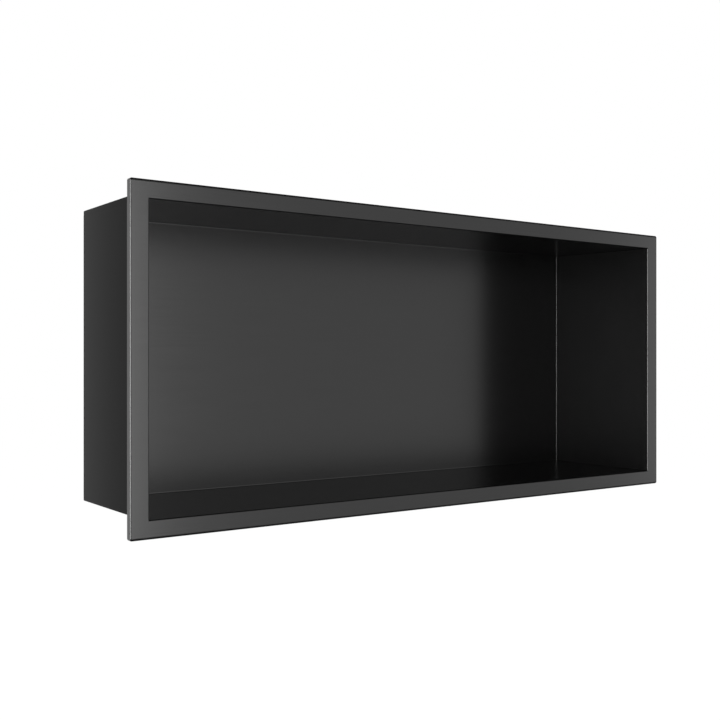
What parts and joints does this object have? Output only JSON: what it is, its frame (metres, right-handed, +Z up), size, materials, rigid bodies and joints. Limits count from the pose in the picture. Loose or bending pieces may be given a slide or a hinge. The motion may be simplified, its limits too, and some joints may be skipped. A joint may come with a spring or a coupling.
{
  "type": "shower niche insert",
  "caption": "Rectangular tray folded from thin steel sheet, open at the front, with a flat rim and a short turned-back lip, set into a tiled shower wall as a recessed shelf.",
  "frame": {"origin": "centre of the tile plane that the rear edge of the rim's lip rests on", "axes": "+X along the rim's long side to the right as seen from the room, +Y into the wall, +Z up; the open front faces -Y"},
  "size_m": [0.4572, 0.1016, 0.2032],
  "materials": {
    "black_coated_steel": "satin black coating over finely brushed stainless sheet"
  },
  "bodies": {
    "root": {"niche_tray": "black_coated_steel"}
  },
  "joints": []
}
